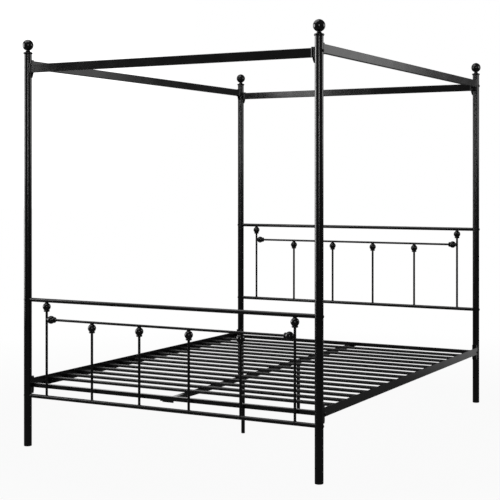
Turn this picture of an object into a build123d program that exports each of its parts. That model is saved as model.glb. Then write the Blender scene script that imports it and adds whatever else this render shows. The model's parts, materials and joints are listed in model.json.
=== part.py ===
from build123d import *
import os
from math import sqrt

os.makedirs("parts", exist_ok=True)

# A four poster bed in painted steel tube, for a queen mattress. Sizes are in millimetres.
# The origin is on the floor under the middle of the bed, +X runs across to the right,
# +Y runs from the foot to the head and +Z is up.

# Plan and posts
post_spacing_x = 1575.0
post_spacing_y = 2108.0
post_d = 38.0
post_wall = 1.2
post_top_z = 1908.0

# Plastic foot caps in the posts
cap_rim_h = 6.0
cap_rim_round = 2.5
cap_spigot_h = 20.0

# Ball finials on the posts
finial_collar_d = 45.5
finial_collar_h = 10.5
finial_cone_d = 30.0
finial_cone_h = 8.0
finial_neck_d = 20.0
finial_neck_h = 1.0
finial_ball_d = 54.0
finial_spigot_h = 25.0

# Canopy rails, and the cast saddles that carry them on the posts
canopy_end_drop = 70.0
canopy_side_drop = 50.5
canopy_rail_h = 40.0
canopy_rail_w = 20.0
canopy_wall = 1.0
canopy_corner = 2.5
canopy_setback = 14.8
saddle_w = 25.0
saddle_edge = 4.5
saddle_bite = 2.0
saddle_wall = 5.0
saddle_rise = 4.0
saddle_tail_h = 25.0
saddle_tail_w = 18.0
saddle_tail_root = 9.0
saddle_tail_mid = 6.5
saddle_tail_tip = 1.5
saddle_plug = 28.0
canopy_bolt_rise = 7.0
canopy_screw_d = 6.0
canopy_screw_reach = 12.0

# Head and foot boards: two round tubes, a thin rail and spindles with cast beads
headboard_bottom_z = 542.0
footboard_bottom_z = 246.0
panel_h = 467.0
board_tube_d = 19.0
board_tube_wall = 1.2
spindle_d = 12.0
spindle_wall = 1.0
spindle_count = 6
spindle_margin = 115.5
bead_ball_d = 39.0
bead_neck_d = 18.0
bead_neck_h = 1.0
bead_groove_d = 24.5
bead_collar_d = 28.0
bead_collar_h = 9.0
bead_spacing = 18.0
tube_insert_len = 22.0
tube_insert_depth = 4.0

# Side rails of steel angle, hung on brackets folded from plate
bracket_w = 26.0
bracket_t = 3.0
bracket_bend = 4.0
bracket_bottom_z = 254.0
bracket_h = 84.0
bracket_tail_h = 22.0
bracket_tail_in = 6.0
rail_bottom_z = 282.0
rail_h = 41.0
rail_leg = 35.0
rail_t = 2.5
rail_root = 3.0
rail_end_in = 1.5
deck_bolt_room = 1.5

# Cross bars, slats and the plastic seats in the slat ends
bar_w = 20.0
bar_h = 20.0
bar_wall = 1.5
bar_corner = 2.0
bar_lift = 0.5
bar_insert_len = 20.0
slat_count = 15
slat_margin = 186.0
slat_w = 28.0
slat_h = 12.0
slat_wall = 0.8
slat_corner = 2.0
seat_len = 30.0
seat_wall = 2.0
seat_floor = 8.5
seat_peg_d = 7.5
seat_peg_h = 4.0

# Centre rail on two legs
spine_w = 25.0
spine_h = 20.0
spine_wall = 1.2
spine_corner = 2.0
hanger_w = 58.0
hanger_t = 4.0
hanger_screw_d = 6.0
hanger_screw_x = 17.0
hanger_screw_reach = 12.0
leg_y = 315.0
leg_d = 19.0
leg_wall = 1.2
leg_plug_len = 22.0
leg_plug_flange = 3.0
leg_stud_d = 8.0
leg_stud_len = 12.0
leg_cap_rim_h = 5.0
leg_cap_round = 2.0
leg_cap_spigot_h = 14.0

# Fasteners and clearances
bolt_d = 8.0
bolt_reach = 14.0
head_ratio_d = 1.7
head_ratio_h = 0.55
weld_gap = 0.2
fit_gap = 0.2
hole_gap = 0.3
thread_gap = 0.05

# Derived places
post_r = post_d / 2
half_x = post_spacing_x / 2
half_y = post_spacing_y / 2
canopy_end_z = post_top_z - canopy_end_drop
canopy_side_z = post_top_z - canopy_side_drop
tube_r = board_tube_d / 2
spindle_r = spindle_d / 2
ball_r = bead_ball_d / 2
bead_len = bead_neck_h + ball_r + sqrt(ball_r**2 - (bead_groove_d / 2) ** 2) + bead_collar_h
mid_drop = tube_r + bead_len + bead_spacing + ball_r
spindle_pitch = (post_spacing_x - 2 * spindle_margin) / (spindle_count - 1)
spindle_x = [-half_x + spindle_margin + i * spindle_pitch for i in range(spindle_count)]
canopy_end_u = post_r + canopy_setback
bracket_out = bolt_d + bracket_t + 2 * deck_bolt_room
bracket_u = post_r + bracket_out
deck_bolt_u = post_r + (bracket_out - bracket_t) / 2
bar_y = half_y - deck_bolt_u
deck_z = rail_bottom_z + rail_t
bar_z = deck_z + bar_lift + bar_h / 2
bar_low_z = bar_z - bar_h / 2
rail_in_x = half_x + bracket_w / 2
slat_z = deck_z + seat_floor + slat_h / 2
slat_pitch = 2 * (bar_y - slat_margin) / (slat_count - 1)
slat_y = [-bar_y + slat_margin + i * slat_pitch for i in range(slat_count)]
seat_end_x = rail_in_x - fit_gap
seat_mid_x = seat_end_x - seat_len / 2
spine_z = deck_z + seat_floor - spine_h / 2
spine_low_z = spine_z - spine_h / 2
spine_end_y = bar_y - bar_w / 2 - hanger_t
sides = {"left": -1, "right": 1}
ends = {"foot": -1, "head": 1}
bottom_z = {"foot": footboard_bottom_z, "head": headboard_bottom_z}


def keep(piece, name):
    # Name a finished piece and write it to its own file.
    piece.label = name
    export_step(piece, "parts/" + name + ".step")


def facing(side, end, along, z=0.0):
    # A place on a post's axis, turned so that local +X points along the rail that leaves it.
    if along == "x":
        turn = 0 if side < 0 else 180
    else:
        turn = 90 if end < 0 else -90
    return Location((side * half_x, end * half_y, z), (0, 0, turn))


def dome_bolt(d, length):
    # A bolt along +X: the domed head lies outside the origin, the shank runs from it.
    head_r = d * head_ratio_d / 2
    head_h = d * head_ratio_h
    dome_h = 0.7 * head_h
    dome_r = (head_r**2 + dome_h**2) / (2 * dome_h)
    with BuildPart() as bolt:
        with BuildSketch(Plane.XY):
            with BuildLine():
                Polyline((length, 0), (-head_h, 0))
                RadiusArc((-head_h, 0), (dome_h - head_h, head_r), dome_r)
                Polyline((dome_h - head_h, head_r), (0, head_r), (0, d / 2), (length, d / 2), (length, 0))
            make_face()
        revolve(axis=Axis.X)
        with BuildSketch(Plane.YZ.offset(-head_h)):
            RegularPolygon(d * 0.36, 6)
        extrude(amount=head_h * 0.6, mode=Mode.SUBTRACT)
    return bolt.part


def hex_nut(d):
    # A nut that stands on the origin with its axis along +Z.
    with BuildPart() as nut:
        with BuildSketch(Plane.XY):
            RegularPolygon(d * 0.81, 6, major_radius=False)
            Circle(d / 2 + thread_gap, mode=Mode.SUBTRACT)
        extrude(amount=d * 0.8)
    return nut.part


# Posts: one tube each, drilled across for the board bolts and the canopy bolt
for end_name, end in ends.items():
    for side_name, side in sides.items():
        levels = [bottom_z[end_name], bottom_z[end_name] + panel_h, canopy_end_z + canopy_bolt_rise]
        with BuildPart() as post:
            with BuildSketch(Plane((side * half_x, end * half_y, cap_rim_h))):
                Circle(post_r)
                Circle(post_r - post_wall, mode=Mode.SUBTRACT)
            extrude(amount=post_top_z - cap_rim_h)
            with Locations(*[Location((side * half_x, end * half_y, z), (0, 90, 0)) for z in levels]):
                Cylinder(bolt_d / 2 + hole_gap, 2 * post_d, mode=Mode.SUBTRACT)
        keep(post.part, "post_" + end_name + "_" + side_name)

# Finials: a turned collar, cone, neck and ball on a spigot that drops into the tube
with BuildPart() as finial:
    with BuildSketch(Plane.XZ):
        spigot_r = post_r - post_wall - fit_gap
        collar_r = finial_collar_d / 2
        nose = finial_collar_h / 2
        cone_z = finial_collar_h + finial_cone_h
        neck_z = cone_z + finial_neck_h
        ball_z = neck_z + sqrt((finial_ball_d / 2) ** 2 - (finial_neck_d / 2) ** 2)
        with BuildLine():
            Polyline((0, -finial_spigot_h), (spigot_r, -finial_spigot_h), (spigot_r, 0), (collar_r - nose, 0))
            ThreePointArc((collar_r - nose, 0), (collar_r, nose), (collar_r - nose, finial_collar_h))
            Polyline((collar_r - nose, finial_collar_h), (finial_cone_d / 2, finial_collar_h))
            SagittaArc((finial_cone_d / 2, finial_collar_h), (finial_neck_d / 2, cone_z), finial_cone_h * 0.15)
            Line((finial_neck_d / 2, cone_z), (finial_neck_d / 2, neck_z))
            ThreePointArc((finial_neck_d / 2, neck_z), (finial_ball_d / 2, ball_z), (0, ball_z + finial_ball_d / 2))
            Line((0, ball_z + finial_ball_d / 2), (0, -finial_spigot_h))
        make_face()
    revolve(axis=Axis.Z)

for end_name, end in ends.items():
    for side_name, side in sides.items():
        with BuildPart() as piece:
            with Locations((side * half_x, end * half_y, post_top_z)):
                add(finial.part)
        keep(piece.part, "finial_" + end_name + "_" + side_name)


def foot_cap(tube_r, tube_wall, rim_h, rim_round, spigot_h):
    # A plastic cap that stands on the origin: a rounded rim as wide as the tube, and a spigot
    # that pushes up into it.
    with BuildPart() as cap:
        with BuildSketch(Plane.XY):
            Circle(tube_r)
        extrude(amount=rim_h)
        fillet(cap.edges().group_by(Axis.Z)[0], rim_round)
        with BuildSketch(Plane.XY.offset(rim_h)):
            Circle(tube_r - tube_wall - fit_gap)
            Circle(tube_r - 3 * tube_wall, mode=Mode.SUBTRACT)
        extrude(amount=spigot_h)
    return cap.part


# Post foot caps
post_cap = foot_cap(post_r, post_wall, cap_rim_h, cap_rim_round, cap_spigot_h)
with BuildPart() as post_foot_caps:
    with GridLocations(post_spacing_x, post_spacing_y, 2, 2):
        add(post_cap)
keep(post_foot_caps.part, "post_foot_caps")


def canopy_saddle(rail_z, bolted):
    # A cast saddle on the +X side of a post at the origin: a block with rounded corners that
    # bites on the post, hollow behind, with a tail below and a plug that the rail slides over.
    top = rail_z + canopy_rail_h / 2 + saddle_rise
    low = rail_z - canopy_rail_h / 2
    tip_z = low - saddle_tail_h
    back = post_r - saddle_bite
    out = canopy_end_u - fit_gap
    plug_w = canopy_rail_w - 2 * canopy_wall - 2 * fit_gap
    plug_h = canopy_rail_h - 2 * canopy_wall - 2 * fit_gap
    with BuildPart() as saddle:
        with BuildSketch(Plane.XY.offset(low)):
            with Locations(((back + out) / 2, 0)):
                RectangleRounded(out - back, saddle_w, saddle_edge)
        extrude(amount=top - low)
        # The tail swells under the block and thins out down the post.
        with BuildSketch(Plane.XZ):
            with BuildLine():
                ThreePointArc((post_r + saddle_tail_root, low), (post_r + saddle_tail_mid, (low + tip_z) / 2),
                              (post_r + saddle_tail_tip, tip_z))
                Polyline((post_r + saddle_tail_tip, tip_z), (back, tip_z), (back, low),
                         (post_r + saddle_tail_root, low))
            make_face()
        extrude(amount=saddle_tail_w / 2, both=True)
        with BuildSketch(Plane.YZ):
            with Locations((0, (top + low) / 2)):
                Rectangle(saddle_w - 2 * saddle_wall, top - low - 2 * saddle_wall)
        extrude(amount=out - saddle_wall, mode=Mode.SUBTRACT)
        with Locations((0, 0, rail_z)):
            Cylinder(post_r + weld_gap, 8 * canopy_rail_h, mode=Mode.SUBTRACT)
        with BuildSketch(Plane.YZ.offset(out)):
            with Locations((0, rail_z)):
                RectangleRounded(plug_w, plug_h, canopy_corner - canopy_wall / 2)
        extrude(amount=saddle_plug)
        chamfer(saddle.faces().sort_by(Axis.X)[-1].edges(), 1.0)
        if bolted:
            with Locations(Location((out, 0, rail_z + canopy_bolt_rise), (0, 90, 0))):
                Cylinder(bolt_d / 2 + thread_gap, 4 * saddle_plug, mode=Mode.SUBTRACT)
        else:
            with Locations((canopy_end_u + saddle_plug / 2, 0, low + canopy_screw_reach / 2)):
                Cylinder(canopy_screw_d / 2 + thread_gap, 2 * canopy_screw_reach, mode=Mode.SUBTRACT)
    return saddle.part


end_saddle = canopy_saddle(canopy_end_z, True)
side_saddle = canopy_saddle(canopy_side_z, False)

# Canopy rails: rectangular tubes that end short of the posts
for end_name, end in ends.items():
    with BuildPart() as saddles:
        with Locations(facing(-1, end, "x"), facing(1, end, "x")):
            add(end_saddle)
    keep(saddles.part, "canopy_saddles_" + end_name)
    with BuildPart() as rail:
        with BuildSketch(Plane((0, end * half_y, canopy_end_z), x_dir=(0, 1, 0), z_dir=(1, 0, 0))):
            RectangleRounded(canopy_rail_w, canopy_rail_h, canopy_corner)
            RectangleRounded(canopy_rail_w - 2 * canopy_wall, canopy_rail_h - 2 * canopy_wall,
                             canopy_corner - canopy_wall / 2, mode=Mode.SUBTRACT)
        extrude(amount=half_x - canopy_end_u, both=True)
    keep(rail.part, "canopy_rail_" + end_name)

for side_name, side in sides.items():
    with BuildPart() as saddles:
        with Locations(facing(side, -1, "y"), facing(side, 1, "y")):
            add(side_saddle)
    keep(saddles.part, "canopy_saddles_" + side_name)
    screw_y = half_y - canopy_end_u - saddle_plug / 2
    with BuildPart() as rail:
        with BuildSketch(Plane((side * half_x, 0, canopy_side_z), x_dir=(1, 0, 0), z_dir=(0, -1, 0))):
            RectangleRounded(canopy_rail_w, canopy_rail_h, canopy_corner)
            RectangleRounded(canopy_rail_w - 2 * canopy_wall, canopy_rail_h - 2 * canopy_wall,
                             canopy_corner - canopy_wall / 2, mode=Mode.SUBTRACT)
        extrude(amount=half_y - canopy_end_u, both=True)
        with Locations(*[(side * half_x, y, canopy_side_z - canopy_rail_h / 2) for y in (-screw_y, screw_y)]):
            Cylinder(canopy_screw_d / 2 + hole_gap, 4 * canopy_wall, mode=Mode.SUBTRACT)
    keep(rail.part, "canopy_rail_" + side_name)

# Canopy fasteners: long bolts through the posts into the end saddles, short screws from below
# through the side rails into their plugs
canopy_bolt = dome_bolt(bolt_d, post_d + canopy_setback + bolt_reach)
canopy_screw = dome_bolt(canopy_screw_d, canopy_screw_reach)
with BuildPart() as canopy_bolts:
    for end in ends.values():
        for side in sides.values():
            with Locations(facing(side, end, "x", canopy_end_z + canopy_bolt_rise)):
                with Locations((-post_r, 0, 0)):
                    add(canopy_bolt)
            screw_y = end * (half_y - canopy_end_u - saddle_plug / 2)
            with Locations(Location((side * half_x, screw_y, canopy_side_z - canopy_rail_h / 2), (0, -90, 0))):
                add(canopy_screw)
keep(canopy_bolts.part, "canopy_bolts")


def bead(seat_r):
    # A turned bead that is threaded on a spindle, with its axis along -Z from the axis of the
    # rail it hangs under: neck, ball, groove and collar, coped to that rail, bored through.
    groove_drop = sqrt(ball_r**2 - (bead_groove_d / 2) ** 2)
    ball_z = -(seat_r + bead_neck_h + ball_r)
    collar_z = ball_z - groove_drop
    with BuildPart() as turned:
        with BuildSketch(Plane.XZ):
            with Locations((0, (ball_z - 0.6 * seat_r) / 2)):
                Rectangle(bead_neck_d, -ball_z - 0.6 * seat_r)
            with Locations((0, ball_z)):
                Circle(ball_r)
            with Locations((0, (ball_z + collar_z) / 2)):
                Rectangle(bead_groove_d, groove_drop)
            with Locations((0, collar_z - bead_collar_h / 2)):
                RectangleRounded(bead_collar_d, bead_collar_h, bead_collar_h * 0.35)
            with Locations((-bead_ball_d, ball_z)):
                Rectangle(2 * bead_ball_d + spindle_d + 2 * fit_gap, 4 * bead_ball_d, mode=Mode.SUBTRACT)
        revolve(axis=Axis.Z)
        with Locations(Location((0, 0, 0), (0, 90, 0))):
            Cylinder(seat_r + weld_gap, 2 * bead_ball_d, mode=Mode.SUBTRACT)
    return turned.part


bead_under_tube = bead(tube_r)
bead_under_rail = bead(spindle_r)

# Head and foot boards
for end_name, end in ends.items():
    y = end * half_y
    low_z = bottom_z[end_name]
    top_z = low_z + panel_h
    mid_z = top_z - mid_drop

    # Top and bottom tubes, coped to the posts at both ends
    for rail_name, z in (("top", top_z), ("bottom", low_z)):
        with BuildPart() as rail:
            with BuildSketch(Plane((0, y, z), x_dir=(0, 1, 0), z_dir=(1, 0, 0))):
                Circle(tube_r)
                Circle(tube_r - board_tube_wall, mode=Mode.SUBTRACT)
            extrude(amount=half_x, both=True)
            with Locations((-half_x, y, z), (half_x, y, z)):
                Cylinder(post_r + weld_gap, 2 * board_tube_d, mode=Mode.SUBTRACT)
        keep(rail.part, end_name + "board_" + rail_name + "_rail")

    # Thin middle rail between the two outer spindles
    with BuildPart() as rail:
        with BuildSketch(Plane((0, y, mid_z), x_dir=(0, 1, 0), z_dir=(1, 0, 0))):
            Circle(spindle_r)
            Circle(spindle_r - spindle_wall, mode=Mode.SUBTRACT)
        extrude(amount=spindle_x[-1], both=True)
        with Locations((spindle_x[0], y, mid_z), (spindle_x[-1], y, mid_z)):
            Cylinder(spindle_r + weld_gap, 2 * spindle_d, mode=Mode.SUBTRACT)
    keep(rail.part, end_name + "board_mid_rail")

    # Spindles: the outer two reach the top tube, the rest stop under the middle rail
    for i, x in enumerate(spindle_x):
        outer = i in (0, spindle_count - 1)
        upper_z = top_z if outer else mid_z
        upper_r = tube_r if outer else spindle_r
        with BuildPart() as spindle:
            with BuildSketch(Plane((x, y, low_z))):
                Circle(spindle_r)
                Circle(spindle_r - spindle_wall, mode=Mode.SUBTRACT)
            extrude(amount=upper_z - low_z)
            with Locations(Location((x, y, low_z), (0, 90, 0))):
                Cylinder(tube_r + weld_gap, 2 * spindle_d, mode=Mode.SUBTRACT)
            with Locations(Location((x, y, upper_z), (0, 90, 0))):
                Cylinder(upper_r + weld_gap, 2 * spindle_d, mode=Mode.SUBTRACT)
        keep(spindle.part, end_name + "board_spindle_" + str(i + 1))

    # Beads: one at the top of each spindle and one at each end of the middle rail
    with BuildPart() as beads:
        for i, x in enumerate(spindle_x):
            if i in (0, spindle_count - 1):
                with Locations((x, y, top_z)):
                    add(bead_under_tube)
            else:
                with Locations((x, y, mid_z)):
                    add(bead_under_rail)
        with Locations(Location((spindle_x[0], y, mid_z), (0, -90, 0)),
                       Location((spindle_x[-1], y, mid_z), (0, 90, 0))):
            add(bead_under_rail)
    keep(beads.part, end_name + "board_beads")

# Threaded inserts in the ends of the board tubes, and the bolts that reach them through the posts
insert_u = post_r + tube_insert_depth
with BuildPart() as tube_insert:
    with BuildSketch(Plane.YZ.offset(insert_u)):
        Circle(tube_r - board_tube_wall - fit_gap)
        Circle(bolt_d / 2 + thread_gap, mode=Mode.SUBTRACT)
    extrude(amount=tube_insert_len)

board_bolt = dome_bolt(bolt_d, post_d + tube_insert_depth + bolt_reach)
board_levels = [(end, z + rise) for (end, z) in ((-1, footboard_bottom_z), (1, headboard_bottom_z))
                for rise in (0, panel_h)]
with BuildPart() as board_tube_inserts:
    for end, z in board_levels:
        with Locations(facing(-1, end, "x", z), facing(1, end, "x", z)):
            add(tube_insert.part)
keep(board_tube_inserts.part, "board_tube_inserts")

with BuildPart() as board_bolts:
    for end, z in board_levels:
        with Locations(facing(-1, end, "x", z), facing(1, end, "x", z)):
            with Locations((-post_r, 0, 0)):
                add(board_bolt)
keep(board_bolts.part, "board_bolts")

# Corner brackets: plate folded to a channel, coped to the post, cut back to a tail below
with BuildPart() as bracket:
    with BuildSketch(Plane.XY.offset(bracket_bottom_z)):
        with Locations((bracket_u / 2, 0)):
            Rectangle(bracket_u, bracket_w)
    extrude(amount=bracket_h)
    fillet(bracket.edges().filter_by(Axis.Z).group_by(Axis.X)[-1], bracket_bend)
    with BuildSketch(Plane.XY.offset(bracket_bottom_z)):
        with Locations(((bracket_u - bracket_t) / 2, 0)):
            Rectangle(bracket_u - bracket_t, bracket_w - 2 * bracket_t)
    extrude(amount=bracket_h, mode=Mode.SUBTRACT)
    with BuildSketch(Plane.XZ):
        with BuildLine():
            tail_z = bracket_bottom_z + bracket_tail_h
            Polyline((bracket_u - bracket_tail_in, bracket_bottom_z), (bracket_u + 1, bracket_bottom_z),
                     (bracket_u + 1, tail_z), (bracket_u, tail_z), (bracket_u - bracket_tail_in, bracket_bottom_z))
        make_face()
    extrude(amount=bracket_w, both=True, mode=Mode.SUBTRACT)
    with Locations((0, 0, bracket_bottom_z + bracket_h / 2)):
        Cylinder(post_r + weld_gap, 2 * bracket_h, mode=Mode.SUBTRACT)
    with Locations(Location((deck_bolt_u, 0, bar_z), (90, 0, 0))):
        Cylinder(bolt_d / 2 + hole_gap, 2 * bracket_w, mode=Mode.SUBTRACT)

for end_name, end in ends.items():
    for side_name, side in sides.items():
        with BuildPart() as piece:
            with Locations(facing(side, end, "y")):
                add(bracket.part)
        keep(piece.part, "corner_bracket_" + end_name + "_" + side_name)

# Side rails: steel angle lapping the brackets, its lower leg cut short of them and drilled
# for the slat seats
rail_end_y = half_y - post_r + rail_end_in
leg_end_y = half_y - bracket_u - 2 * fit_gap
for side_name, side in sides.items():
    outer_x = side * (rail_in_x + rail_t)
    inner_x = side * rail_in_x
    toe_x = side * (rail_in_x + rail_t - rail_leg)
    top_z = rail_bottom_z + rail_h
    with BuildPart() as rail:
        with BuildSketch(Plane((0, 0, 0), x_dir=(1, 0, 0), z_dir=(0, -1, 0))):
            with BuildLine():
                Polyline((outer_x, rail_bottom_z), (outer_x, top_z), (inner_x, top_z), (inner_x, deck_z),
                         (toe_x, deck_z), (toe_x, rail_bottom_z), (outer_x, rail_bottom_z))
            make_face()
        extrude(amount=rail_end_y, both=True)
        outer_edge = rail.edges().filter_by(Axis.Y).group_by(Axis.Z)[0].sort_by(Axis.X)[-1 if side > 0 else 0]
        fillet(outer_edge, rail_root / 2)
        with Locations((inner_x - side * rail_leg, -half_y, rail_bottom_z), (inner_x - side * rail_leg, half_y, rail_bottom_z)):
            Box(2 * rail_leg, 2 * (half_y - leg_end_y), 4 * rail_t, mode=Mode.SUBTRACT)
        with Locations(*[Location((inner_x, y, bar_z), (0, 90, 0)) for y in (-bar_y, bar_y)]):
            Cylinder(bolt_d / 2 + hole_gap, 8 * rail_t, mode=Mode.SUBTRACT)
        with Locations(*[(side * seat_mid_x, y, rail_bottom_z) for y in slat_y]):
            Cylinder(seat_peg_d / 2 + hole_gap, 4 * rail_t, mode=Mode.SUBTRACT)
    keep(rail.part, "side_rail_" + side_name)

# Cross bars between the brackets at the foot and the head
bar_end_x = half_x - bracket_w / 2 - fit_gap
for end_name, end in ends.items():
    with BuildPart() as bar:
        with BuildSketch(Plane((0, end * bar_y, bar_z), x_dir=(0, 1, 0), z_dir=(1, 0, 0))):
            RectangleRounded(bar_w, bar_h, bar_corner)
            RectangleRounded(bar_w - 2 * bar_wall, bar_h - 2 * bar_wall, bar_corner - bar_wall / 2,
                             mode=Mode.SUBTRACT)
        extrude(amount=bar_end_x, both=True)
        with Locations((-hanger_screw_x, end * bar_y, bar_low_z), (hanger_screw_x, end * bar_y, bar_low_z)):
            Cylinder(hanger_screw_d / 2 + thread_gap, 4 * bar_wall, mode=Mode.SUBTRACT)
    keep(bar.part, "cross_bar_" + end_name)

# Threaded blocks in the ends of the cross bars, and the bolts that clamp rail, bracket and bar
with BuildPart() as bar_insert:
    with BuildSketch(Plane.YZ):
        RectangleRounded(bar_w - 2 * bar_wall - 2 * fit_gap, bar_h - 2 * bar_wall - 2 * fit_gap,
                         bar_corner - bar_wall / 2)
        Circle(bolt_d / 2 + thread_gap, mode=Mode.SUBTRACT)
    extrude(amount=-bar_insert_len)

deck_bolt = dome_bolt(bolt_d, rail_in_x + rail_t - bar_end_x + bolt_reach)
with BuildPart() as cross_bar_inserts:
    for end in ends.values():
        with Locations(Location((bar_end_x, end * bar_y, bar_z)), Location((-bar_end_x, end * bar_y, bar_z), (0, 0, 180))):
            add(bar_insert.part)
keep(cross_bar_inserts.part, "cross_bar_inserts")

with BuildPart() as deck_bolts:
    for end in ends.values():
        with Locations(Location((rail_in_x + rail_t, end * bar_y, bar_z), (0, 0, 180)),
                       Location((-rail_in_x - rail_t, end * bar_y, bar_z))):
            add(deck_bolt)
keep(deck_bolts.part, "deck_bolts")

# Slats: flat tubes across the bed, each end on a plastic seat that pegs into the side rail
slat_half = seat_end_x - seat_wall - fit_gap
with BuildPart() as slat:
    with BuildSketch(Plane((0, 0, slat_z), x_dir=(0, 1, 0), z_dir=(1, 0, 0))):
        RectangleRounded(slat_w, slat_h, slat_corner)
        RectangleRounded(slat_w - 2 * slat_wall, slat_h - 2 * slat_wall, slat_corner - slat_wall / 2,
                         mode=Mode.SUBTRACT)
    extrude(amount=slat_half, both=True)

with BuildPart() as slats:
    with Locations(*[(0, y, 0) for y in slat_y]):
        add(slat.part)
keep(slats.part, "slats")

# Slat seats: a pad under the slat, a flange that closes its end, a plug inside it and a peg below
with BuildPart() as seat:
    with BuildSketch(Plane.XY.offset(deck_z)):
        with Locations((seat_mid_x, 0)):
            Rectangle(seat_len, slat_w)
    extrude(amount=seat_floor - fit_gap)
    flange_plane = Plane((seat_end_x - seat_wall, 0, slat_z), x_dir=(0, 1, 0), z_dir=(1, 0, 0))
    with BuildSketch(flange_plane):
        RectangleRounded(slat_w, slat_h, slat_corner)
        with Locations((0, (deck_z - slat_z) / 2)):
            Rectangle(slat_w, slat_z - deck_z)
    extrude(amount=seat_wall)
    with BuildSketch(flange_plane):
        RectangleRounded(slat_w - 2 * slat_wall - 2 * fit_gap, slat_h - 2 * slat_wall - 2 * fit_gap,
                         slat_corner - slat_wall / 2)
    extrude(amount=seat_wall - seat_len)
    with BuildSketch(Plane.XY.offset(deck_z)):
        with Locations((seat_mid_x, 0)):
            Circle(seat_peg_d / 2)
    extrude(amount=-(rail_t + seat_peg_h))
    chamfer(seat.edges().group_by(Axis.Z)[0], 1.0)

with BuildPart() as slat_seats:
    for y in slat_y:
        with Locations(Location((0, y, 0)), Location((0, y, 0), (0, 0, 180))):
            add(seat.part)
keep(slat_seats.part, "slat_seats")

# Centre rail under the slats, with the holes for the legs' studs
with BuildPart() as centre_rail:
    with BuildSketch(Plane((0, 0, spine_z), x_dir=(1, 0, 0), z_dir=(0, -1, 0))):
        RectangleRounded(spine_w, spine_h, spine_corner)
        RectangleRounded(spine_w - 2 * spine_wall, spine_h - 2 * spine_wall, spine_corner - spine_wall / 2,
                         mode=Mode.SUBTRACT)
    extrude(amount=spine_end_y - fit_gap, both=True)
    with Locations((0, -leg_y, spine_low_z), (0, leg_y, spine_low_z)):
        Cylinder(leg_stud_d / 2 + hole_gap, 4 * spine_wall, mode=Mode.SUBTRACT)
keep(centre_rail.part, "centre_rail")

# Hangers: an angle under each cross bar, its upright leg on the end of the centre rail
with BuildPart() as hanger:
    with BuildSketch(Plane.YZ):
        with BuildLine():
            Polyline((spine_end_y, spine_low_z), (spine_end_y, bar_low_z), (bar_y + bar_w / 2, bar_low_z),
                     (bar_y + bar_w / 2, bar_low_z - hanger_t), (spine_end_y + hanger_t, bar_low_z - hanger_t),
                     (spine_end_y + hanger_t, spine_low_z), (spine_end_y, spine_low_z))
        make_face()
    extrude(amount=hanger_w / 2, both=True)
    with Locations((-hanger_screw_x, bar_y, bar_low_z), (hanger_screw_x, bar_y, bar_low_z)):
        Cylinder(hanger_screw_d / 2 + hole_gap, 4 * hanger_t, mode=Mode.SUBTRACT)

for end_name, turn in (("foot", 180), ("head", 0)):
    with BuildPart() as piece:
        with Locations(Location((0, 0, 0), (0, 0, turn))):
            add(hanger.part)
    keep(piece.part, "rail_hanger_" + end_name)

# Screws from below that hold the hangers to the cross bars, and the nuts for the legs' studs
hanger_screw = dome_bolt(hanger_screw_d, hanger_screw_reach)
leg_nut = hex_nut(leg_stud_d)
with BuildPart() as centre_rail_fasteners:
    for end in ends.values():
        with Locations(*[Location((x, end * bar_y, bar_low_z - hanger_t), (0, -90, 0))
                         for x in (-hanger_screw_x, hanger_screw_x)]):
            add(hanger_screw)
        with Locations((0, end * leg_y, spine_low_z + spine_wall)):
            add(leg_nut)
keep(centre_rail_fasteners.part, "centre_rail_fasteners")

# Centre legs: a tube, a flanged plug with a stud at the top and a rounded cap on the floor
leg_r = leg_d / 2
leg_top_z = spine_low_z - leg_plug_flange
with BuildPart() as leg_plug:
    with BuildSketch(Plane.XY.offset(leg_top_z)):
        Circle(leg_r)
    extrude(amount=leg_plug_flange)
    with BuildSketch(Plane.XY.offset(leg_top_z)):
        Circle(leg_r - leg_wall - fit_gap)
    extrude(amount=-leg_plug_len)
    with BuildSketch(Plane.XY.offset(spine_low_z)):
        Circle(leg_stud_d / 2)
    extrude(amount=leg_stud_len)

leg_cap = foot_cap(leg_r, leg_wall, leg_cap_rim_h, leg_cap_round, leg_cap_spigot_h)

for end_name, end in ends.items():
    with BuildPart() as leg:
        with BuildSketch(Plane((0, end * leg_y, leg_cap_rim_h))):
            Circle(leg_r)
            Circle(leg_r - leg_wall, mode=Mode.SUBTRACT)
        extrude(amount=leg_top_z - leg_cap_rim_h)
    keep(leg.part, "centre_leg_" + end_name)

with BuildPart() as centre_leg_plugs:
    with Locations((0, -leg_y, 0), (0, leg_y, 0)):
        add(leg_plug.part)
keep(centre_leg_plugs.part, "centre_leg_plugs")

with BuildPart() as centre_leg_caps:
    with Locations((0, -leg_y, 0), (0, leg_y, 0)):
        add(leg_cap)
keep(centre_leg_caps.part, "centre_leg_caps")
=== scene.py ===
# %% [markdown]
# # A black four poster bed
# This lesson dresses a finished frame: the posts, rails, boards and slats of a steel canopy bed
# come in as fixed solids, in metres, standing on the floor around the origin. Blender's work here
# is the camera, the light, the paint on every piece, and the weld seams that hold the spindles
# and the brackets. The head of the bed is towards +Y and the foot is towards -Y.

# %% Load the frame
import json
import math
import bmesh
import bpy
from mathutils import Matrix, Vector


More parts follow.
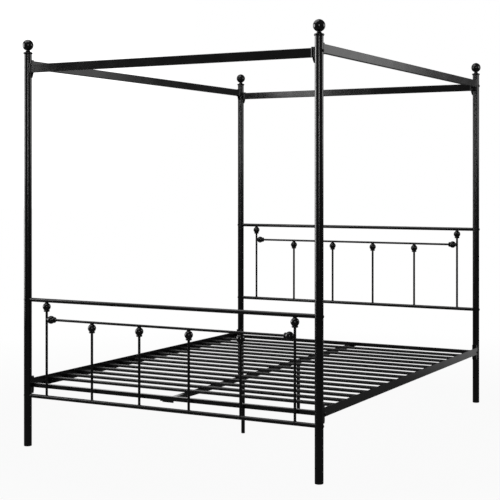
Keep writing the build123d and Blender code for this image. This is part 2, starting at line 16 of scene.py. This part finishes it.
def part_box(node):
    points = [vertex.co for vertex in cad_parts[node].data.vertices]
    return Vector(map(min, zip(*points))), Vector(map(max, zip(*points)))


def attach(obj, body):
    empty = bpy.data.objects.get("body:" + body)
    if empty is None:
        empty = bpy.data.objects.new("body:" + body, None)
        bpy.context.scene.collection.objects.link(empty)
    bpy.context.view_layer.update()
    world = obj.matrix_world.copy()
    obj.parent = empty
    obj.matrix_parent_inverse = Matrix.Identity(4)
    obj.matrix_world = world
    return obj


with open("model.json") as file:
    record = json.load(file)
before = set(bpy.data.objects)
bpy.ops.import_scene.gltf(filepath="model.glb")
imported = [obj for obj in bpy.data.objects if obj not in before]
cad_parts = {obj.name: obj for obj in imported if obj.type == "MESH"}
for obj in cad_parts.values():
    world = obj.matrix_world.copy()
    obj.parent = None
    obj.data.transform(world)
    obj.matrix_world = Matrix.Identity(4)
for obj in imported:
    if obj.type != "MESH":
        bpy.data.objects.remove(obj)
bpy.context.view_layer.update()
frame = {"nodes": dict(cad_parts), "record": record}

scene = bpy.context.scene
scene.view_settings.view_transform = "Standard"
print("pieces in the frame:", len(frame["nodes"]))

# %% [markdown]
# ## Camera
# The photograph was taken from the front right, at about chest height, with a long lens held
# level. A level camera keeps the posts upright, so the picture is framed by shifting the lens
# instead of tilting the camera. The numbers come from fitting a camera to points on the posts and
# rails.

# %% Place the camera
LEVEL = math.radians(90)
CAMERA_TURN = math.radians(27.643)

camera = bpy.data.objects.new("camera", bpy.data.cameras.new("camera"))
scene.collection.objects.link(camera)
camera.location = (2.9811, -5.6104, 1.2863)
camera.rotation_euler = (LEVEL, 0, CAMERA_TURN)
camera.data.sensor_fit = "HORIZONTAL"
camera.data.sensor_width = 36
camera.data.lens = 85.42
camera.data.shift_x = -0.0580
camera.data.shift_y = -0.1363
camera.data.clip_end = 100
scene.camera = camera
print("camera distance to the bed: %.2f m" % camera.location.length)

# %% [markdown]
# ## Helpers for colours and nodes
# Colours are written as the hex values one would pick from a picture. Shaders work in linear
# light, so one function converts them. Materials are easier to read when another function adds a
# node, with its settings, the stops of its ramp and its inputs. An input that is a socket gets a
# link, and any other input is a plain value.

# %% Colour and node helpers


def linear(hex_colour):
    values = [int(hex_colour[i:i + 2], 16) / 255 for i in (1, 3, 5)]
    return [v / 12.92 if v <= 0.04045 else ((v + 0.055) / 1.055) ** 2.4 for v in values] + [1.0]


def set_inputs(tree, node, inputs):
    for key, value in inputs.items():
        if isinstance(value, bpy.types.NodeSocket):
            tree.links.new(value, node.inputs[key])
        else:
            node.inputs[key].default_value = value


def add_node(tree, kind, inputs=None, stops=(), **settings):
    made = tree.nodes.new(kind)
    for name, value in settings.items():
        setattr(made, name, value)
    for number, (position, colour) in enumerate(stops):
        made.color_ramp.elements[number].position = position
        made.color_ramp.elements[number].color = linear(colour)
    set_inputs(tree, made, inputs or {})
    return made


print("black in linear light:", [round(v, 4) for v in linear("#0c0c0d")[:3]])

# %% [markdown]
# ## Powder coat on the tubes
# The tubes are steel with a baked black powder coat. The powder melts into a skin that is smooth
# but not flat: it has a faint orange peel, with lumps a few millimetres apart, and its gloss
# drifts a little along a tube. So the colour is nearly black and even, the roughness wanders
# slowly, and a shallow bump carries the orange peel. The lumps are drawn a little coarser than
# life so that they show.

# %% Powder coated steel
MM = 0.001
DRIFT_LENGTH = 90 * MM
PEEL_WIDTH = 5 * MM
PEEL_DEPTH = 0.3 * MM
PAINT_IOR = 1.5


def new_material(name):
    material = bpy.data.materials.new(name)
    material.use_nodes = True
    tree = material.node_tree
    shader = tree.nodes["Principled BSDF"]
    place = add_node(tree, "ShaderNodeTexCoord").outputs["Object"]
    return material, tree, shader, place


powder_coat, tree, shader, place = new_material("powder_coated_steel")
drift = add_node(tree, "ShaderNodeTexNoise",
                 {"Vector": place, "Scale": 1 / DRIFT_LENGTH, "Detail": 3.0})
peel = add_node(tree, "ShaderNodeTexNoise",
                {"Vector": place, "Scale": 1 / PEEL_WIDTH, "Detail": 1.5})
tint = add_node(tree, "ShaderNodeValToRGB", {"Fac": drift.outputs["Fac"]},
                stops=((0.3, "#0a0a0b"), (0.7, "#121212")))
gloss = add_node(tree, "ShaderNodeMapRange",
                 {"Value": drift.outputs["Fac"], "From Min": 0.3, "From Max": 0.7,
                  "To Min": 0.14, "To Max": 0.22})
skin = add_node(tree, "ShaderNodeBump",
                {"Height": peel.outputs["Fac"], "Strength": 0.03, "Distance": PEEL_DEPTH})
set_inputs(tree, shader, {"Base Color": tint.outputs["Color"], "IOR": PAINT_IOR,
                          "Roughness": gloss.outputs["Result"], "Normal": skin.outputs["Normal"]})
print("made", powder_coat.name)

# %% [markdown]
# ## Paint on the slats
# The slats have the same powder in a thinner coat. Mattresses and boxes rub along them, so they
# are a little duller, with fine scuffs that run along each slat. A noise that is stretched along X
# gives such scuffs.

# %% Slat paint
SCUFF_WIDTH = 4 * MM
SCUFF_DEPTH = 0.2 * MM
SCUFF_STRETCH = (0.06, 1.0, 1.0)

slat_paint, tree, shader, place = new_material("thin_powder_coat_on_slats")
along = add_node(tree, "ShaderNodeMapping", {"Vector": place, "Scale": SCUFF_STRETCH})
scuff = add_node(tree, "ShaderNodeTexNoise",
                 {"Vector": along.outputs["Vector"], "Scale": 1 / SCUFF_WIDTH, "Detail": 4.0})
tint = add_node(tree, "ShaderNodeValToRGB", {"Fac": scuff.outputs["Fac"]},
                stops=((0.35, "#0d0d0d"), (0.8, "#1a1a1a")))
gloss = add_node(tree, "ShaderNodeMapRange",
                 {"Value": scuff.outputs["Fac"], "From Min": 0.3, "From Max": 0.8,
                  "To Min": 0.4, "To Max": 0.52})
skin = add_node(tree, "ShaderNodeBump",
                {"Height": scuff.outputs["Fac"], "Strength": 0.05, "Distance": SCUFF_DEPTH})
set_inputs(tree, shader, {"Base Color": tint.outputs["Color"], "IOR": PAINT_IOR,
                          "Roughness": gloss.outputs["Result"], "Normal": skin.outputs["Normal"]})
print("made", slat_paint.name)

# %% [markdown]
# ## Gloss paint on the castings
# The finials, beads and saddles are small castings. They are tumbled before painting, so their
# skin is rounder and glossier than the tubes, over a faint unevenness from the sand mould.

# %% Painted castings
SAND_WIDTH = 9 * MM
SAND_DEPTH = 0.4 * MM

casting_paint, tree, shader, place = new_material("gloss_paint_on_castings")
sand = add_node(tree, "ShaderNodeTexNoise",
                {"Vector": place, "Scale": 1 / SAND_WIDTH, "Detail": 2.0})
tint = add_node(tree, "ShaderNodeValToRGB", {"Fac": sand.outputs["Fac"]},
                stops=((0.3, "#090909"), (0.75, "#111112")))
gloss = add_node(tree, "ShaderNodeMapRange",
                 {"Value": sand.outputs["Fac"], "From Min": 0.3, "From Max": 0.7,
                  "To Min": 0.07, "To Max": 0.12})
skin = add_node(tree, "ShaderNodeBump",
                {"Height": sand.outputs["Fac"], "Strength": 0.08, "Distance": SAND_DEPTH})
set_inputs(tree, shader, {"Base Color": tint.outputs["Color"], "IOR": PAINT_IOR,
                          "Roughness": gloss.outputs["Result"], "Normal": skin.outputs["Normal"]})
print("made", casting_paint.name)

# %% [markdown]
# ## Moulded plastic
# The foot caps and the slat seats are moulded in black polypropylene. The mould is etched with a
# fine grain, which scatters light, so the plastic looks greyer and softer than the paint.

# %% Moulded plastic
GRAIN_WIDTH = 1.2 * MM
GRAIN_DEPTH = 0.1 * MM
TONE_WIDTH = 30 * MM

cap_plastic, tree, shader, place = new_material("moulded_polypropylene")
grain = add_node(tree, "ShaderNodeTexVoronoi", {"Vector": place, "Scale": 1 / GRAIN_WIDTH})
tone = add_node(tree, "ShaderNodeTexNoise",
                {"Vector": place, "Scale": 1 / TONE_WIDTH, "Detail": 2.0})
tint = add_node(tree, "ShaderNodeValToRGB", {"Fac": tone.outputs["Fac"]},
                stops=((0.0, "#111111"), (1.0, "#1b1b1c")))
skin = add_node(tree, "ShaderNodeBump",
                {"Height": grain.outputs["Distance"], "Strength": 0.15, "Distance": GRAIN_DEPTH})
set_inputs(tree, shader, {"Base Color": tint.outputs["Color"], "IOR": 1.49,
                          "Roughness": 0.48, "Normal": skin.outputs["Normal"]})
print("made", cap_plastic.name)

# %% [markdown]
# ## Blackened bolts
# The bolt heads are blackened steel: a thin dark oxide that still reflects like metal. The oxide
# is a little uneven, so a fine noise moves both its colour and its gloss.

# %% Blackened steel
OXIDE_WIDTH = 3 * MM

bolt_black, tree, shader, place = new_material("blackened_steel_bolts")
patch = add_node(tree, "ShaderNodeTexNoise",
                 {"Vector": place, "Scale": 1 / OXIDE_WIDTH, "Detail": 3.0})
tint = add_node(tree, "ShaderNodeValToRGB", {"Fac": patch.outputs["Fac"]},
                stops=((0.0, "#141414"), (1.0, "#2c2b2a")))
gloss = add_node(tree, "ShaderNodeMapRange",
                 {"Value": patch.outputs["Fac"], "To Min": 0.25, "To Max": 0.42})
set_inputs(tree, shader, {"Base Color": tint.outputs["Color"], "Metallic": 0.6,
                          "Roughness": gloss.outputs["Result"]})
print("made", bolt_black.name)

# %% [markdown]
# ## Zinc plate
# The inserts, nuts and studs are zinc plated, a pale grey with bluish and yellowish patches a few
# millimetres wide. They are bare metal, so the shader is metallic and keeps its usual IOR.

# %% Zinc plate
ZINC_WIDTH = 4 * MM

zinc_plate, tree, shader, place = new_material("zinc_plated_steel")
patch = add_node(tree, "ShaderNodeTexNoise",
                 {"Vector": place, "Scale": 1 / ZINC_WIDTH, "Detail": 2.0})
tint = add_node(tree, "ShaderNodeValToRGB", {"Fac": patch.outputs["Fac"]},
                stops=((0.35, "#a9aeb6"), (0.65, "#bdb9a8")))
gloss = add_node(tree, "ShaderNodeMapRange",
                 {"Value": patch.outputs["Fac"], "To Min": 0.28, "To Max": 0.4})
set_inputs(tree, shader, {"Base Color": tint.outputs["Color"], "Metallic": 1.0,
                          "Roughness": gloss.outputs["Result"]})
print("made", zinc_plate.name)

# %% [markdown]
# ## Dress the frame
# Every solid of the frame names the finish it has in the shop. The list below turns those names
# into the materials above, so no piece keeps a plain stand-in colour.

# %% Give each piece its finish
finishes = {"black_steel": powder_coat, "slat_steel": slat_paint,
            "black_casting": casting_paint, "black_plastic": cap_plastic,
            "black_hardware": bolt_black, "zinc_steel": zinc_plate}
for piece in frame["record"]["subparts"]:
    solid = frame["nodes"][piece["node"]]
    solid.data.materials.clear()
    solid.data.materials.append(finishes[piece["material_slot"]])

# %% [markdown]
# ## Weld seams
# The spindles and the corner brackets are welded on. A weld seam is metal that ran into a corner
# and froze in small ripples, about 3 mm wide here and painted over. It could be a bump in the
# paint, but a seam stands up and has an outline, so it is modelled. A small circle spun round the
# spindle's axis gives a ring, its ripples swell and shrink that circle, and each point is then
# dropped on to the round tube below, because the corner between two crossing tubes is a saddle and
# not a flat ring.

# %% A ring of weld for a spindle
WELD_RADIUS = 1.6 * MM
RIPPLE = 0.14
RIPPLES_ROUND = 12
STEPS_PER_RIPPLE = 4
RING_SIDES = 8
MERGE_DISTANCE = 0.01 * MM


def weld_ring(rod_radius, tube_radius):
    bm = bmesh.new()
    ring_radius = rod_radius + WELD_RADIUS / 3
    bmesh.ops.create_circle(bm, segments=RING_SIDES, radius=WELD_RADIUS)
    bmesh.ops.rotate(bm, verts=bm.verts, cent=(0, 0, 0),
                     matrix=Matrix.Rotation(math.radians(90), 3, "X"))
    bmesh.ops.translate(bm, verts=bm.verts, vec=(ring_radius, 0, 0))
    bmesh.ops.spin(bm, geom=bm.verts[:] + bm.edges[:], cent=(0, 0, 0), axis=(0, 0, 1),
                   angle=math.tau, steps=STEPS_PER_RIPPLE * RIPPLES_ROUND, use_merge=True)
    bmesh.ops.remove_doubles(bm, verts=bm.verts, dist=MERGE_DISTANCE)
    bmesh.ops.recalc_face_normals(bm, faces=bm.faces)
    for vert in bm.verts:
        angle = math.atan2(vert.co.y, vert.co.x)
        middle = Vector((ring_radius * math.cos(angle), ring_radius * math.sin(angle), 0))
        swell = 1 + RIPPLE * math.cos(RIPPLES_ROUND * angle)
        vert.co = middle + (vert.co - middle) * swell
        vert.co.z += math.sqrt(tube_radius ** 2 - vert.co.y ** 2)
    return bm


print("a weld seam is %.1f mm wide" % (2 * WELD_RADIUS / MM))

# %% [markdown]
# ## One seam, many places
# Seams of one kind are alike, so one is shaped around the origin and copied to each joint. All the
# copies go into one mesh, which stays at the origin as the solids do. They are painted with the
# tubes, after welding, so they wear the same powder coat.

# %% Copy a seam to its places


def place_copies(name, shape, places):
    one = bpy.data.meshes.new("one")
    shape.to_mesh(one)
    shape.free()
    bm = bmesh.new()
    for place in places:
        bm.from_mesh(one)
        bm.verts.ensure_lookup_table()
        bmesh.ops.translate(bm, verts=bm.verts[-len(one.vertices):], vec=place)
    for face in bm.faces:
        face.smooth = True
    mesh = bpy.data.meshes.new(name)
    bm.to_mesh(mesh)
    bm.free()
    bpy.data.meshes.remove(one)
    mesh.materials.append(powder_coat)
    piece = bpy.data.objects.new(name, mesh)
    scene.collection.objects.link(piece)
    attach(piece, "root")
    print(name, "seams:", len(places), "faces:", len(mesh.polygons))


# %% [markdown]
# ## Rings on both boards
# Six spindles stand on the bottom tube of each board. The boxes of the spindles say where they
# stand and how thick they are, and the box of the tube gives its axis and its radius.

# %% Rings of weld under the spindles
SPINDLES = range(1, 7)

for board in ("footboard", "headboard"):
    tube_low, tube_high = [Vector(corner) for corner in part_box(board + "_bottom_rail")]
    tube_middle = (tube_low + tube_high) / 2
    places = []
    for number in SPINDLES:
        rod_low, rod_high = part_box("%s_spindle_%d" % (board, number))
        places.append(((rod_low[0] + rod_high[0]) / 2, tube_middle.y, tube_middle.z))
    rod_radius = (rod_high[0] - rod_low[0]) / 2
    tube_radius = (tube_high.z - tube_low.z) / 2
    place_copies(board + "_spindle_welds", weld_ring(rod_radius, tube_radius), places)

# %% [markdown]
# ## Stitch welds on the corner brackets
# A folded bracket doesn't need a seam along its whole height: welders stitch it, with a short run
# above the cross bar and one below it, on both edges. Each run starts as a cylinder that is cut
# into rings, and the rings swell with the ripples and shrink at the ends, where the welder starts
# and stops.

# %% One stitch
STITCH_LENGTH = 24 * MM
STITCH_SIDES = 10
STITCH_CUTS = 31
RIPPLE_LENGTH = 3 * MM
END_SHRINK = 0.7
END_SHARPNESS = 8

stitch = bmesh.new()
bmesh.ops.create_cone(stitch, cap_ends=True, segments=STITCH_SIDES, radius1=WELD_RADIUS,
                      radius2=WELD_RADIUS, depth=STITCH_LENGTH)
upright = [edge for edge in stitch.edges if edge.calc_length() > STITCH_LENGTH / 2]
bmesh.ops.subdivide_edges(stitch, edges=upright, cuts=STITCH_CUTS)
for vert in stitch.verts:
    towards_end = abs(vert.co.z) / (STITCH_LENGTH / 2)
    swell = 1 + RIPPLE * math.cos(math.tau * vert.co.z / RIPPLE_LENGTH)
    girth = swell * (1 - END_SHRINK * towards_end ** END_SHARPNESS)
    vert.co.x *= girth
    vert.co.y *= girth
print("rings in a stitch:", STITCH_CUTS + 2)

# %% [markdown]
# ## Stitches at the four corners
# Each bracket has two upright edges that end on the round post. The edge's X is known from the
# bracket's box, so the circle of the post gives the Y where the two meet.

# %% Stitches between brackets and posts
places = []
for end in ("foot", "head"):
    bar_low, bar_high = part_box("cross_bar_" + end)
    for side in ("left", "right"):
        low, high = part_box("corner_bracket_%s_%s" % (end, side))
        post_low, post_high = [Vector(corner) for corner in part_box("post_%s_%s" % (end, side))]
        post = (post_low + post_high) / 2
        post_radius = (post_high.x - post_low.x) / 2
        inwards = 1 if post.y < 0 else -1
        for edge_x in (low[0], high[0]):
            edge_y = post.y + inwards * math.sqrt(post_radius ** 2 - (edge_x - post.x) ** 2)
            places.append((edge_x, edge_y, (low[2] + bar_low[2]) / 2))
            places.append((edge_x, edge_y, (bar_high[2] + high[2]) / 2))
place_copies("corner_bracket_welds", stitch, places)

# %% [markdown]
# ## Studio
# A black bed is lit by what it mirrors, so the room matters more than the lamps. The photograph
# shows the bed black against white, which means that the lens sees a white sweep while the paint
# mirrors a dim studio. One way is a real sweep behind the bed, but then every tube turns grey at
# its edges. Here Light Path does the parting: the lens and clear things see plain white, and a
# mirrored ray sees a dim room with a little of that white in it. The left half of the slats is
# paler than the right half, and flat tops seen at a low angle mirror what is far behind them. So
# one corner of the room, behind the bed on the left, is lit, and the wall next to it is nearly
# dark.

# %% A dim room with one lit corner
CORNER_TURN = math.radians(48)
CORNER_RISE = 0.14
ROOM_DARK, ROOM_LIT = 0.02, 1.3

world = bpy.data.worlds.new("studio")
scene.world = world
world.use_nodes = True
tree = world.node_tree
backdrop = tree.nodes["Background"]
lit_corner = (-math.sin(CORNER_TURN), math.cos(CORNER_TURN), CORNER_RISE)
way = add_node(tree, "ShaderNodeTexCoord").outputs["Generated"]
towards = add_node(tree, "ShaderNodeVectorMath", {0: way, 1: lit_corner},
                   operation="DOT_PRODUCT")
room = add_node(tree, "ShaderNodeMapRange",
                {"Value": towards.outputs["Value"], "From Min": 0.92, "From Max": 0.985,
                 "To Min": ROOM_DARK, "To Max": ROOM_LIT})
print("lit corner towards", [round(v, 2) for v in lit_corner])

# %% [markdown]
# ## White for the lens
# Light Path says what kind of ray is asking. A ray from the lens, or one that went through
# something clear, gets white in full. A mirrored ray gets a small share, which fades towards the
# lit corner. The brightest answer wins, so three Maximum nodes join them with the room.

# %% A white backdrop
MIRRORED_MOST, MIRRORED_LEAST = 0.12, 0.02

path = add_node(tree, "ShaderNodeLightPath")
dim_white = add_node(tree, "ShaderNodeMapRange",
                     {"Value": towards.outputs["Value"], "From Min": 0.4, "From Max": 0.85,
                      "To Min": MIRRORED_MOST, "To Max": MIRRORED_LEAST})
mirrored = add_node(tree, "ShaderNodeMath",
                    {0: path.outputs["Is Glossy Ray"], 1: dim_white.outputs["Result"]},
                    operation="MULTIPLY")
direct = add_node(tree, "ShaderNodeMath",
                  {0: path.outputs["Is Camera Ray"], 1: path.outputs["Is Transmission Ray"]},
                  operation="MAXIMUM")
white = add_node(tree, "ShaderNodeMath",
                 {0: direct.outputs["Value"], 1: mirrored.outputs["Value"]},
                 operation="MAXIMUM")
level = add_node(tree, "ShaderNodeMath",
                 {0: room.outputs["Result"], 1: white.outputs["Value"]},
                 operation="MAXIMUM")
set_inputs(tree, backdrop, {"Color": (1, 1, 1, 1), "Strength": level.outputs["Value"]})
print("white that mirrored rays see:", MIRRORED_LEAST, "to", MIRRORED_MOST)

# %% [markdown]
# ## Floor
# The floor is a plain sheet. It is shaded in two parts that are mixed: a grey matt part that takes
# light and the shadow of the bed, and a white part that the lens sees. A little less than all of
# the lens's view is white near the bed, so that a soft shadow stays under the feet, and all of it
# is white further off, so that no horizon shows.

# %% Floor sheet
FLOOR_REACH = 40
SHADOW_NEAR, SHADOW_FAR = 1.5, 4.0
WHITE_NEAR, WHITE_FAR = 0.95, 1.0

bm = bmesh.new()
bmesh.ops.create_grid(bm, x_segments=1, y_segments=1, size=FLOOR_REACH)
floor_mesh = bpy.data.meshes.new("floor")
bm.to_mesh(floor_mesh)
bm.free()
floor = bpy.data.objects.new("floor", floor_mesh)
scene.collection.objects.link(floor)

floor_white = bpy.data.materials.new("white_floor")
floor_white.use_nodes = True
floor_mesh.materials.append(floor_white)
tree = floor_white.node_tree
tree.nodes.remove(tree.nodes["Principled BSDF"])
path = add_node(tree, "ShaderNodeLightPath")
place = add_node(tree, "ShaderNodeTexCoord").outputs["Object"]
direct = add_node(tree, "ShaderNodeMath",
                  {0: path.outputs["Is Camera Ray"], 1: path.outputs["Is Transmission Ray"]},
                  operation="MAXIMUM")
from_bed = add_node(tree, "ShaderNodeVectorMath", {0: place}, operation="LENGTH")
whiteness = add_node(tree, "ShaderNodeMapRange",
                     {"Value": from_bed.outputs["Value"],
                      "From Min": SHADOW_NEAR, "From Max": SHADOW_FAR,
                      "To Min": WHITE_NEAR, "To Max": WHITE_FAR})
seen = add_node(tree, "ShaderNodeMath",
                {0: direct.outputs["Value"], 1: whiteness.outputs["Result"]},
                operation="MULTIPLY")
print("the floor keeps its shadow to %.1f m from the bed" % SHADOW_FAR)

# %% [markdown]
# ## A painted pool of light for the side rail
# The upright face of the right side rail mirrors the floor beyond the head of the bed. It turns
# from black at the foot to grey at the head, so the floor shows mirrored rays a painted pool of
# light there: a patch that glows white though no lamp lights it, to paint a reflection into the
# rail. A Mapping node of the Texture kind moves the point that the pool's distance is measured
# from, and stretches the pool along Y. The larger of the two shares then mixes grey and white.

# %% Painted light pool and mix
POOL_PLACE = (1.3, 3.35, 0)
POOL_STRETCH = (1.0, 1.6, 1.0)
POOL_INNER, POOL_OUTER = 0.2, 1.1
# Painted light: the pool's white glows on the floor for mirrored rays only, and the rest is the
# share elsewhere.
PAINTED_LIGHT_POOL_WHITE, POOL_REST = 0.6, 0.05

from_pool = add_node(tree, "ShaderNodeMapping",
                     {"Vector": place, "Location": POOL_PLACE, "Scale": POOL_STRETCH},
                     vector_type="TEXTURE")
pool_edge = add_node(tree, "ShaderNodeVectorMath", {0: from_pool.outputs["Vector"]},
                     operation="LENGTH")
# The painted pool of light: the share of glowing white that mirrored rays see, highest at its
# middle.
pool = add_node(tree, "ShaderNodeMapRange",
                {"Value": pool_edge.outputs["Value"],
                 "From Min": POOL_INNER, "From Max": POOL_OUTER,
                 "To Min": PAINTED_LIGHT_POOL_WHITE, "To Max": POOL_REST})
mirrored = add_node(tree, "ShaderNodeMath",
                    {0: path.outputs["Is Glossy Ray"], 1: pool.outputs["Result"]},
                    operation="MULTIPLY")
share = add_node(tree, "ShaderNodeMath",
                 {0: seen.outputs["Value"], 1: mirrored.outputs["Value"]},
                 operation="MAXIMUM")
lit = add_node(tree, "ShaderNodeBsdfDiffuse", {"Color": linear("#5e5e5e")})
glow = add_node(tree, "ShaderNodeEmission", {"Color": (1, 1, 1, 1), "Strength": 1.0})
mixed = add_node(tree, "ShaderNodeMixShader",
                 {"Fac": share.outputs["Value"], 1: lit.outputs["BSDF"],
                  2: glow.outputs["Emission"]})
set_inputs(tree, tree.nodes["Material Output"], {"Surface": mixed.outputs["Shader"]})
print("pool of white at", POOL_PLACE)

# %% [markdown]
# ## Soft boxes
# Round tubes turn each soft box into a bright line, so the lines on the posts say where the boxes
# stood. A wide one stands on the left and gives the front posts their pale left rim. It has a
# grid, which is what a small spread means, so that the posts at the head see it dark from their
# angle. A strip at the front left lights the middle of the far canopy rail. A strip beside the
# camera draws the line down the posts, from the finials to about the height of the lens, and is no
# taller than that, because the flat tops of the rails mirror it when seen from behind. A weak one
# at the right rear greys the right canopy rail, one on the right greys the right rim of the front
# left post, and one overhead fills the deck. An area light's power is its brightness times pi
# times its area, so the function takes the brightness instead.

# %% Soft lights
FULL_SPREAD = 180


def soft_box(name, place, target, width, height, brightness, shape="RECTANGLE",
             spread=FULL_SPREAD):
    lamp = bpy.data.lights.new(name, "AREA")
    lamp.shape = shape
    lamp.size = width
    lamp.size_y = height
    lamp.spread = math.radians(spread)
    area = width * height * (math.pi / 4 if shape == "ELLIPSE" else 1)
    lamp.energy = brightness * math.pi * area
    stand = bpy.data.objects.new(name, lamp)
    scene.collection.objects.link(stand)
    stand.location = place
    aim = Vector(target) - Vector(place)
    stand.rotation_euler = aim.to_track_quat("-Z", "Y").to_euler()
    stand.visible_camera = False
    print(name, "watts:", round(lamp.energy))


soft_box("left_wall", (-4.0, -2.3, 1.95), (0, -2.3, 1.95), 3.6, 3.4, 1.5, "ELLIPSE", spread=80)
soft_box("left_strip", (-2.06, -2.25, 2.0), (-0.3, 1.0, 2.0), 0.35, 1.4, 6.5)
soft_box("camera_strip", (3.15, -5.75, 1.9), (0, 0, 1.9), 0.8, 1.3, 11.0)
soft_box("right_rear", (3.6, 3.5, 2.3), (0, -0.5, 2.0), 2.8, 2.0, 1.15)
soft_box("right_side", (3.2, 0.9, 2.3), (-0.8, -1.0, 2.0), 1.3, 1.6, 3.0)
soft_box("overhead", (-1.5, -1.0, 5.0), (0, 0, 0.3), 4.0, 4.0, 2.0)
